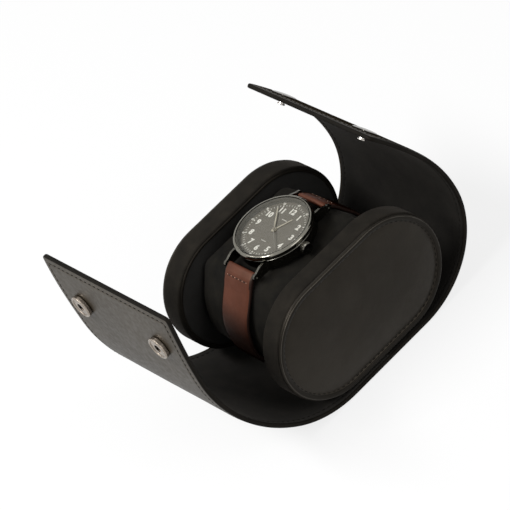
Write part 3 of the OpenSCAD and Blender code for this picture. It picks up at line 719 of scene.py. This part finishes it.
def wrap_stitches():
    for side, name, bends, plan in FLAPS:
        seam = flap_seam(flap_length(bends), WRAP_W / 2)
        for q, joint in enumerate(plan["joints"]):
            places = []
            for x, s, (dx, ds) in seam:
                if not plan["cuts"][q] <= s < plan["cuts"][q + 1]:
                    continue
                t = place(bends, s)[2]
                for depth, sign in ((0.30, -1), (WRAP_T - 0.26, 1)):
                    here = Vector(wrap_point(bends, side, x, s, depth))
                    ahead = Vector(wrap_point(bends, side, x + dx * 0.1, s + ds * 0.1,
                                              depth)) - here
                    up = Vector((0, -side * sin(t), cos(t))) * sign
                    places.append((here, ahead, up))
            obj = stitch_mesh(f"{name}_stitches_{q + 1}", places, 2.1, 0.2, THREAD)
            bend_over(obj, bends, side, joint)


# ---- End caps ----

ARC_STEPS = 44
LINE_STEPS = 18
PAD_R = PANEL_R - WELT_IN - WELT_W - PAD_IN
PAD_DOME = 1.8
SIDES = {"right": 1, "left": -1}


def stadium(r):
    """Points (y, z) round a stadium of radius r, and outward directions."""
    out = []
    for end in (1, -1):
        for i in range(ARC_STEPS):
            w = -end * pi / 2 + pi * i / ARC_STEPS
            out.append((end * CAP_STRAIGHT + r * cos(w), r * sin(w), cos(w), sin(w)))
        for i in range(LINE_STEPS):
            out.append((end * (CAP_STRAIGHT - 2 * CAP_STRAIGHT * i / LINE_STEPS), end * r,
                        0.0, float(end)))
    return out


def cap_skin(word, part, profile, material, wave):
    """Sweeps a profile of (radius, height along X) round the stadium, in place of the
    CAD cap's part. wave(y, z, radius, height) is how far a point moves out and up."""
    side = SIDES[word]
    points = []
    for r, h in profile:
        for y, z, ny, nz in stadium(max(r, 0.0)):
            dr, dh = wave(y, z, r, h)
            points.append((side * (h + dh), y + ny * dr, CAP_Z + z + nz * dr))
    faces = ring_faces(len(profile), 2 * (ARC_STEPS + LINE_STEPS))
    obj = make(f"{word}_{part}_skin", points, faces, material)
    outward(obj.data, merge=True)
    obj.data.shade_smooth()
    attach(obj, "base")
    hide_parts(f"{word}_cap_{part}")
    return obj


def arc_profile(centre, r, a0, a1, n, squash=1.0):
    out = []
    for i in range(n + 1):
        w = radians(a0 + (a1 - a0) * i / n)
        out.append((centre[0] + r * cos(w), centre[1] + r * squash * sin(w)))
    return out


def cap_panel(word, out, seed):
    """Padded panel: a groove beside the welt, then a shallow dome with soft dents."""
    edge = 0.45
    profile = [(PANEL_R, out - 1.2), (PANEL_R, out - 0.5)]
    profile += arc_profile((PANEL_R - edge, out - edge), edge, 0, 90, 4)
    profile += [(PAD_R + 0.75, out), (PAD_R + 0.6, out - 0.15),
                (PAD_R + 0.35, out - 0.48), (PAD_R + 0.1, out - 0.5)]
    for i in range(26):
        t = (i / 25) ** 1.4
        rise = PAD_DOME * (1 - (1 - t) ** 2.6) ** 0.8
        profile.append((PAD_R * (1 - t), out - 0.5 + rise))

    def dents(y, z, r, h):
        if r > PAD_R:
            return 0.0, 0.0
        ease = min(1.0, (PAD_R - r) / 6)
        broad = 0.30 * wobble((y, z, 0), 26, seed) + 0.12 * wobble((y, z, 4), 11, seed)
        pucker = 0.07 * exp(-((PAD_R - r - 1.2) / 1.0) ** 2) * wobble((y, z, 8), 2.6, seed)
        return 0.0, broad * ease * 0.8 + pucker - 0.05

    cap_skin(word, "panel", profile, PANEL, dents)


def cap_welt(word, out, seed):
    """A folded strip, puckered by its stitches, with a highlight painted along its rim."""
    half, corner = WELT_W / 2, 0.38
    middle = PANEL_R - WELT_IN - half
    profile = [(middle + half, out - 0.3)]
    profile += arc_profile((middle + half - corner, out + 0.12), corner, 0, 90, 6)
    profile += [(middle + 0.35, out + 0.62), (middle - 0.3, out + 0.58)]
    profile += arc_profile((middle - half + corner, out + 0.06), corner, 90, 180, 6)
    profile += [(middle - half, out - 0.55)]

    def puckers(y, z, r, h):
        return 0.06 * wobble((y, z, 2), 5, seed), 0.07 * wobble((y, z, 6), 3.2, seed)

    welt = cap_skin(word, "welt", profile, WELT, puckers)
    # the faces along the rim take the lighter leather, a painted highlight
    welt.data.materials.append(WELT_RIM_HIGHLIGHT)
    for face in welt.data.polygons:
        x, y, z = (v / MM for v in face.center)
        r = hypot(y - max(-CAP_STRAIGHT, min(CAP_STRAIGHT, y)), z - CAP_Z)
        if r > middle + half - 0.36 and abs(x) > out + 0.2:
            face.material_index = 1


def cap_band(word, out, seed):
    """Suede band round the rim, rolled at both edges."""
    edge, tuck = 1.0, CAP_R - 1.2
    profile = [(tuck, CAP_IN + 0.02)]
    profile += arc_profile((CAP_R - edge, CAP_IN + edge), edge, -90, 0, 6)
    profile += [(CAP_R - 0.04, CAP_IN + 3.2), (CAP_R + 0.03, CAP_IN + 5.4),
                (CAP_R - 0.04, CAP_IN + 7.6)]
    profile += arc_profile((CAP_R - edge, out - 2.2), edge, 0, 90, 6)
    profile += [(tuck, out - 1.2)]

    def nap(y, z, r, h):
        return 0.05 * wobble((y, z + CAP_Z, h), 7, seed) - 0.03, 0.0

    cap_skin(word, "band", profile, BAND, nap)


def cap_inner(word, seed):
    """The flat inner panel and its thin welt."""
    profile = [(CAP_R - 2.75, CAP_IN + 0.5), (CAP_R - 2.75, CAP_IN + 0.05)]
    profile += [((CAP_R - 3.0) * (1 - (i / 20) ** 1.3), CAP_IN + 0.02) for i in range(21)]
    cap_skin(word, "inner_panel", profile, INNER,
             lambda y, z, r, h: (0.0, 0.05 + 0.05 * wobble((y, z, 1), 12, seed)))
    half = 0.8
    middle = CAP_R - 1.2 - half
    profile = [(middle + half, CAP_IN + 0.3)]
    profile += arc_profile((middle, CAP_IN), half, 0, -180, 10, 0.6)
    profile += [(middle - half, CAP_IN + 0.3)]
    cap_skin(word, "inner_welt", profile, INNER_WELT,
             lambda y, z, r, h: (0.04 * wobble((y, z, 2), 6, seed), 0.0))


def cap_thread(word, out):
    """Stitches in the groove between welt and panel."""
    side = SIDES[word]
    path = stadium(PAD_R + 0.35)
    loop = []
    for (y, z, _, _), (y2, z2, _, _) in zip(path, path[1:] + path[:1]):
        steps = max(1, round(hypot(y2 - y, z2 - z) / 0.5))
        loop += [(y + (y2 - y) * i / steps, z + (z2 - z) * i / steps)
                 for i in range(steps)]
    pairs = list(zip(loop, loop[1:] + loop[:1]))
    total = sum(dist(a, b) for a, b in pairs)
    count = round(total / PANEL_PITCH)
    places, walked = [], 0.0
    for a, b in pairs:
        if walked >= total / count * len(places) and len(places) < count:
            places.append(((side * (out - 0.33), a[0], CAP_Z + a[1]),
                           (0, b[0] - a[0], b[1] - a[1]), (side, 0, 0)))
        walked += dist(a, b)
    stitches = stitch_mesh(f"{word}_panel_stitches", places, 2.0, 0.17, THREAD)
    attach(stitches, "base")


def end_cap(word):
    seed, out = {"right": (3.0, CAP_OUT), "left": (11.0, CAP_OUT + LEFT_PROUD)}[word]
    cap_panel(word, out, seed)
    cap_welt(word, out, seed)
    cap_band(word, out, seed)
    cap_inner(word, seed)
    cap_thread(word, out)
    give(CORE_BOARD, f"{word}_cap_core")


# ---- Pillow ----

PILLOW_H = PILLOW_TOP - PILLOW_Z
SIDE_R = 0.765 * PILLOW_H
SIDE_TURN, LUG_TURN = 32.0, 18.0
LOW_LEN = 0.368 * PILLOW_H * pi / 2
LUG_LEN = 0.68 * SIDE_R * radians(LUG_TURN)
# the line that the strap follows, from the pillow's underside to the spring bar
STRAP_LINE = [(LOW_LEN, 90), (SIDE_R * radians(SIDE_TURN), SIDE_TURN),
              (0.2 * PILLOW_H, 0), (LUG_LEN, LUG_TURN)]
LINE_LEN = sum(b[0] for b in STRAP_LINE)
# the underside is as long as brings the line's end to the spring bar
FLAT = BAR_Y - 0.54 - follow((0.0, PILLOW_Z, 0.0), STRAP_LINE, LINE_LEN)[0]
S_LOW, S_LUG = FLAT + LOW_LEN, FLAT + LINE_LEN
S_SLOPE = S_LUG - LUG_LEN


def outline(s):
    """(y, z, heading) of the strap's line, s mm from the underside's middle."""
    if s < 0:
        y, z, t = outline(-s)
        return -y, z, -t
    return follow((min(s, FLAT), PILLOW_Z, 0.0), STRAP_LINE, s - FLAT)


def pillow_section(count=132):
    """Closed outline (y, z) of the pillow, in even steps."""
    slope = outline(S_SLOPE)
    shoulder = 180 - degrees(slope[2])
    length = (PILLOW_TOP - slope[1]) / (cos(slope[2]) + 1) * radians(shoulder)
    right = [outline(S_SLOPE * i / 60)[:2] for i in range(61)]
    right += [walk(slope, length, shoulder, length * i / 12)[:2] for i in range(1, 13)]
    top_y = right[-1][0]
    right += [(top_y * (1 - i / 10), PILLOW_TOP) for i in range(1, 11)]
    loop = right + [(-y, z) for y, z in reversed(right[:-1])]
    walked = [0.0]
    for a, b in zip(loop, loop[1:]):
        walked.append(walked[-1] + dist(a, b))
    steps = [walked[-1] * k / count for k in range(count)]
    return [tuple(p) for p in np.transpose([np.interp(steps, walked, c) for c in zip(*loop)])]


def pillow():
    section = pillow_section()
    count = len(section)
    ends = [0.0, 0.05, 0.15, 0.35, 0.7, 1.2, 1.9, 2.8, 4.0, 5.4]
    flat = PILLOW_HALF - ends[-1]
    xs = [-PILLOW_HALF + e for e in ends]
    xs += [-flat + 2 * flat * (i + 1) / 32 for i in range(31)]
    xs += [PILLOW_HALF - e for e in reversed(ends)]
    rounding, rounding_deep, seam_in, under_half = 6.0, 4.6, 5.2, 9.5
    points = []
    for x in xs:
        d = PILLOW_HALF - abs(x)
        u = max(0.0, 1 - d / rounding)
        drop = rounding_deep * (1 - sqrt(1 - u * u))
        seam = 0.55 * exp(-((d - seam_in) / 0.55) ** 2)
        for k, (y, z) in enumerate(section):
            a, b = section[k - 1], section[(k + 1) % count]
            ny, nz = b[1] - a[1], -(b[0] - a[0])
            size = hypot(ny, nz)
            ny, nz = ny / size, nz / size
            under_strap = exp(-(max(0.0, abs(x) - under_half) / 2.5) ** 2)
            soft = 0.35 * wobble((x, y, z), 13, 4.0) + 0.18 * wobble((x, y, z), 5, 9.0)
            bulge = 0.45 * exp(-((abs(x) - under_half - 5) / 4.0) ** 2)
            on_top = 1.0 if z > PILLOW_TOP - 1.5 and abs(y) < 22 else 0.0
            free = (1 - under_strap) * (1 - on_top)
            out = free * (soft + bulge) - seam * 0.8 - drop - 0.05
            points.append((x, y + ny * out, z + nz * out))
    faces = ring_faces(len(xs), count, close_ends=True)
    obj = make("pillow_skin", points, faces, PILLOW)
    outward(obj.data)
    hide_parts("pillow_cover")
    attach(obj, "pillow")
    give(FOAM, "pillow_foam")


# ---- Strap ----

STRAP_T = 2.0
TAIL_T = 1.8        # the tail has been thinned where it lies over the buckle's half
LUG_W, TIP_W = 19.8, 18.0
LIFT = 1.3
BUCKLE_S = 14.0
OVER_BUCKLE = 1.7
CLEAR = 0.1
TAIL_OFF = LIFT + STRAP_T / 2 + OVER_BUCKLE + CLEAR
TAIL_S = BUCKLE_S + 24
S_TOP = S_LUG - 1.2
PAD_RUN = 9.0       # the padding thins out over this length from the lug end
LUG_T, REAR_LUG_T = 2.9, 2.2
STITCH_Y = 27.4


def strap_width(s):
    return between(LUG_W, TIP_W, clamp((S_LUG - abs(s)) / (S_LUG - BUCKLE_S)))


def strap_half(word, stations, material):
    """stations: (centre y, z, normal y, z, half width, half thickness)."""
    ring = 28
    points = []
    for y, z, ny, nz, hw, ht in stations:
        for k in range(ring):
            w = 2 * pi * k / ring
            cx, cz = cos(w), sin(w)
            # rounded edges, crowned face
            px = hw * copysign(abs(cx) ** 0.22, cx)
            pz = ht * copysign(abs(cz) ** 0.55, cz)
            if pz > 0:
                pz *= crown(px, hw)
            points.append((px, y + ny * pz, z + nz * pz))
    faces = ring_faces(len(stations), ring, close_ends=True)
    obj = make(f"strap_{word}_skin", points, faces, material)
    outward(obj.data)
    obj.data.materials.append(STRAP_EDGE)
    for face in obj.data.polygons:
        if abs(face.normal.x) > 0.25:
            face.material_index = 1
    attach(obj, "pillow")
    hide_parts(f"strap_{word}")


def crown(x, half_width):
    """Share of the full thickness at x: the face falls towards its edges."""
    return 1 - 0.16 * (abs(x) / half_width) ** 2


def strap_station(s, off, thick, width):
    y, z, t = outline(s)
    ny, nz = sin(t), -cos(t)
    c = off + thick / 2
    return [y + ny * c, z + nz * c, ny, nz, width / 2, thick / 2]


def round_end(stations, bar, r):
    """Carries the strap's end round its spring bar."""
    y, z, ny, nz, hw, ht = stations[-1]
    ty, tz = bar[0] - y, bar[1] - z
    gap = hypot(ty, tz)
    ty, tz = ty / gap, tz / gap
    out = []
    n2 = (tz, -ty) if tz * ny - ty * nz > 0 else (-tz, ty)
    for i in range(1, 5):
        f = smoothstep(i / 5)
        my, mz = between(ny, n2[0], f), between(nz, n2[1], f)
        size = hypot(my, mz)
        out.append([y + ty * gap * i / 5, z + tz * gap * i / 5, my / size, mz / size, hw,
                    between(ht, r, f)])
    for i in range(8):
        u = r * sin(pi / 2 * i / 7.4)
        half_t = max(0.06, sqrt(max(0, r * r - u * u)))
        out.append([bar[0] + ty * u, bar[1] + tz * u, n2[0], n2[1],
                    hw - 0.25 * (i / 7) ** 3, half_t])
    return stations + out


def long_half(count=150):
    """From the tail's tip, over the buckle and up the front to the front spring bar."""
    tail_in = 0.35      # share of the front that the bow reaches below the pillow's side
    stations = []
    for i in range(count + 1):
        s = TAIL_S - (S_TOP - 0.8 + TAIL_S) * i / count
        if s < 0:
            u = (-s - S_LOW) / (S_LUG - S_LOW)
            bow = sin(pi * (u + tail_in) / (1 + tail_in)) if -tail_in < u < 1 else 0
            off = CLEAR + 1.6 * bow * bow
        else:
            off = between(CLEAR, TAIL_OFF, smoothstep((s - BUCKLE_S + 12) / 10))
        tip = 1 - 0.7 * smoothstep((s - TAIL_S + 6) / 9)
        base_t = TAIL_T if s > 0 else STRAP_T
        thick = between(LUG_T, base_t, smoothstep((S_TOP + s) / PAD_RUN))
        if i < 3:
            thick *= (0.45, 0.8, 0.95)[i]
        stations.append(strap_station(s, off, thick, strap_width(s) * tip))
    return round_end(stations, (-BAR_Y, BAR_Z), 1.6)


def short_half(count=80):
    """From the buckle up the rear to the rear spring bar."""
    first = BUCKLE_S + 1
    stations = []
    for i in range(count + 1):
        s = first + (S_TOP - 0.8 - first) * i / count
        off = between(LIFT, CLEAR, smoothstep((s - S_LOW + 6) / 12))
        thick = between(REAR_LUG_T, STRAP_T, smoothstep((S_TOP - s) / PAD_RUN))
        stations.append(strap_station(s, off, thick, strap_width(s)))
    return round_end(stations, (BAR_Y, BAR_Z), 1.35)


def strap_stitches(side, stations, name):
    """Five stitches across a half, just below its lug end, and light specks at their ends:
    painted highlights of the stitch holes.
    """
    upper = [q for q in stations if q[1] > 50]
    y, z, ny, nz, hw, ht = min(upper, key=lambda q: abs(q[0] - side * STITCH_Y))
    pitch = 2.75

    def places(count, proud):
        row = []
        for k in range(count):
            x = (k - (count - 1) / 2) * pitch
            lift = ht * crown(x, hw) + proud
            row.append(((x, y + ny * lift, z + nz * lift), (1, 0, 0), (0, ny, nz)))
        return row

    thread = stitch_mesh(f"strap_{name}_stitches", places(5, 0.0), 2.1, 0.34, STRAP_THREAD)
    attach(thread, "pillow")
    # light specks at the stitch ends, painted highlights in the stitch holes
    hole_highlights = stitch_mesh(f"strap_{name}_stitch_hole_highlights", places(6, 0.02), 0.75, 0.2, STITCH_HOLE_HIGHLIGHT)
    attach(hole_highlights, "pillow")


def strap():
    long_side, short_side = long_half(), short_half()
    strap_half("long", long_side, STRAP)
    strap_half("short", short_side, STRAP_REAR_SHADED)
    strap_stitches(-1, long_side, "front")
    strap_stitches(1, short_side, "rear")


def keepers():
    band_t, half_long, corner, ring = 0.9, 2.5, 1.2, 12
    inner = TAIL_OFF + TAIL_T - band_t
    low, high = CLEAR + band_t / 2, CLEAR + band_t + inner + band_t / 2
    for s, name in ((BUCKLE_S + 9, "fixed"), (BUCKLE_S + 17, "loose")):
        y, z, t = outline(s)
        ay, az = cos(t), sin(t)
        ny, nz = sin(t), -cos(t)
        w = strap_width(s) / 2 + 0.25 + band_t / 2
        path = []
        for quarter, (cx, cz) in enumerate((
                (w - corner, high - corner), (corner - w, high - corner),
                (corner - w, low + corner), (w - corner, low + corner))):
            for i in range(7):
                q = radians(90 * quarter + 15 * i)
                path.append((cx + corner * cos(q), cz + corner * sin(q), cos(q), sin(q)))
        points = []
        for px, pz, qx, qz in path:
            for k in range(ring):
                a = 2 * pi * k / ring
                along = half_long * copysign(abs(cos(a)) ** 0.35, cos(a))
                out = band_t / 2 * copysign(abs(sin(a)) ** 0.7, sin(a))
                x, d = px + qx * out, pz + qz * out
                points.append((x, y + ny * d + ay * along, z + nz * d + az * along))
        last = (len(path) - 1) * ring
        faces = ring_faces(len(path), ring)
        faces += [(last + k, last + (k + 1) % ring, (k + 1) % ring, k) for k in range(ring)]
        obj = make(f"keeper_{name}_skin", points, faces, STRAP)
        outward(obj.data)
        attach(obj, "pillow")
        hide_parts(f"strap_keeper_{name}")


# ---- Watch ----

PRINT_Z = DIAL_Z + 0.02


def figures():
    """The dial's hour and minute figures, as (points, faces)."""
    texts = []
    for h in range(1, 13):
        w = radians(90 - 30 * h)
        for body, r, size, bold in ((str(h), 12.2, 4.1, 0.21),
                                    (f"{5 * h:02d}", 16.5, 1.6, 0.05)):
            curve = bpy.data.curves.new(f"figure_{body}", "FONT")
            curve.body = body
            curve.size = size * MM
            curve.align_x = curve.align_y = "CENTER"
            curve.offset = bold * MM
            curve.resolution_u = 3
            obj = new_object(f"figure_{body}", curve)
            obj.location = (r * cos(w) * MM, r * sin(w) * MM, PRINT_Z * MM)
            texts.append(obj)
    bpy.context.view_layer.update()
    graph = bpy.context.evaluated_depsgraph_get()
    points, faces = [], []
    for obj in texts:
        mesh = obj.evaluated_get(graph).to_mesh()
        base = len(points)
        points += [tuple((obj.matrix_world @ v.co) / MM) for v in mesh.vertices]
        faces += [tuple(base + v for v in p.vertices) for p in mesh.polygons]
        obj.evaluated_get(graph).to_mesh_clear()
    for obj in texts:
        bpy.data.curves.remove(obj.data)
    return points, faces


def add_bar(points, faces, x, y, w, length, width):
    """A printed bar about (x, y), turned by w."""
    c, s = cos(w), sin(w)
    base = len(points)
    for a, b in CORNERS:
        u, v = a * length / 2, b * width / 2
        points.append((x + u * c - v * s, y + u * s + v * c, PRINT_Z))
    faces.append((base, base + 1, base + 2, base + 3))


def dial_figures():
    """Hour and minute figures, and the minute track."""
    points, faces = figures()
    for m in range(60):
        w = radians(90 - 6 * m)
        r, length, width = (15.3, 0.9, 0.22) if m % 5 else (15.0, 0.8, 0.62)
        add_bar(points, faces, r * cos(w), r * sin(w), w, length, width)
    numerals = make("dial_figures", points, faces, NUMERALS, smooth=False)
    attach(numerals, "pillow")


def dial_marks():
    """Two plain bars where the photograph has the maker's words."""
    points, faces = [], []
    add_bar(points, faces, 0, 6.6, 0, 3.6, 0.42)
    add_bar(points, faces, 0, -7.4, 0, 3.2, 0.42)
    marks = make("dial_marks", points, faces, MARKS, smooth=False)
    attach(marks, "pillow")


def dial_ring():
    """Sloping ring between the dial and the crystal."""
    crystal = nodes["watch_crystal"]
    corners = [crystal.matrix_world @ Vector(c) for c in crystal.bound_box]
    top = max(c.z for c in corners) / MM - 0.35
    rings = [(DIAL_R, PRINT_Z), (17.55, DIAL_Z + 0.35), (17.95, top - 0.4), (18.12, top)]
    turns = [2 * pi * k / 160 for k in range(160)]
    points = [(r * cos(w), r * sin(w), h) for r, h in rings for w in turns]
    rehaut = make("dial_rehaut", points, ring_faces(len(rings), len(turns)), RING)
    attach(rehaut, "pillow")


def metalwork():
    give(DARK_STEEL, "watch_case", "watch_crown")
    give(STEEL, "watch_back", "watch_stem", "spring_bars")
    give(BEZEL, "watch_bezel")
    give(CRYSTAL, "watch_crystal")
    give(DIAL, "watch_dial")
    give(BRASS, "watch_movement")
    give(HANDS, "hour_hand", "minute_hand")
    give(SECONDS, "seconds_hand")
    give(BUCKLE, "buckle_frame", "buckle_tongue")
    give(NICKEL, "snap_sockets")
    give(BORE, "snap_posts", "snap_springs")
    give(STUD, "snap_studs")
    give(BLACK_CAP, "snap_caps")


# ---- Floor and light ----

FLOOR_HALF = 6.0


def seen_rays(tree, other, seen):
    """One value for camera, glossy and transmission rays, another for all the rest."""
    path = tree.nodes.new("ShaderNodeLightPath")
    either = path.outputs["Is Camera Ray"]
    for kind in ("Is Glossy Ray", "Is Transmission Ray"):
        most = add(tree, "ShaderNodeMath")
        most.operation = "MAXIMUM"
        tree.links.new(either, most.inputs[0])
        tree.links.new(path.outputs[kind], most.inputs[1])
        either = most.outputs[0]
    return value_range(tree, either, other, seen, 0.0, 1.0)


def floor():
    corners = [(x * FLOOR_HALF, y * FLOOR_HALF, 0) for x, y in CORNERS]
    mesh = new_mesh("floor", corners, [(0, 1, 2, 3)], unit=1.0)
    obj = new_object("floor", mesh)
    obj.location.z = -0.0002
    material, tree, shader, _ = new_material("floor_paper")
    feed(tree, shader, Base_Color=(0.86, 0.86, 0.86, 1), Roughness=0.9,
         Specular_IOR_Level=0.1)
    glow = add(tree, "ShaderNodeEmission", Strength=1.0)
    mix = tree.nodes.new("ShaderNodeMixShader")
    tree.links.new(seen_rays(tree, 0.0, 0.8), mix.inputs[0])
    tree.links.new(shader.outputs[0], mix.inputs[1])
    tree.links.new(glow.outputs[0], mix.inputs[2])
    tree.links.new(mix.outputs[0], tree.nodes["Material Output"].inputs["Surface"])
    mesh.materials.append(material)


def lamp(name, place, aim, size, power):
    data = bpy.data.lights.new(name, "AREA")
    data.shape = "RECTANGLE"
    data.size, data.size_y = size
    data.energy = power
    obj = new_object(name, data)
    obj.location = place
    obj.rotation_euler = (Vector(aim) - Vector(place)).to_track_quat("-Z", "Y").to_euler()


def studio():
    floor()
    world = bpy.data.worlds.new("studio")
    bpy.context.scene.world = world
    world.use_nodes = True
    tree = world.node_tree
    feed(tree, tree.nodes["Background"], Color=(1, 1, 1, 1),
         Strength=seen_rays(tree, 0.33, 1.0))
    lamp("key", (-0.26, -0.74, 1.22), (0, 0, 0.05), (1.4, 0.2), 21.0)
    lamp("fill", (1.15, 0.25, 0.8), (0, 0, 0.04), (0.7, 0.7), 5.0)
    bpy.context.scene.view_settings.view_transform = "Standard"


wrap_skins()
facing_strip()
wrap_stitches()
end_cap("right")
end_cap("left")
pillow()
strap()
keepers()
metalwork()
dial_figures()
dial_ring()
dial_marks()
studio()
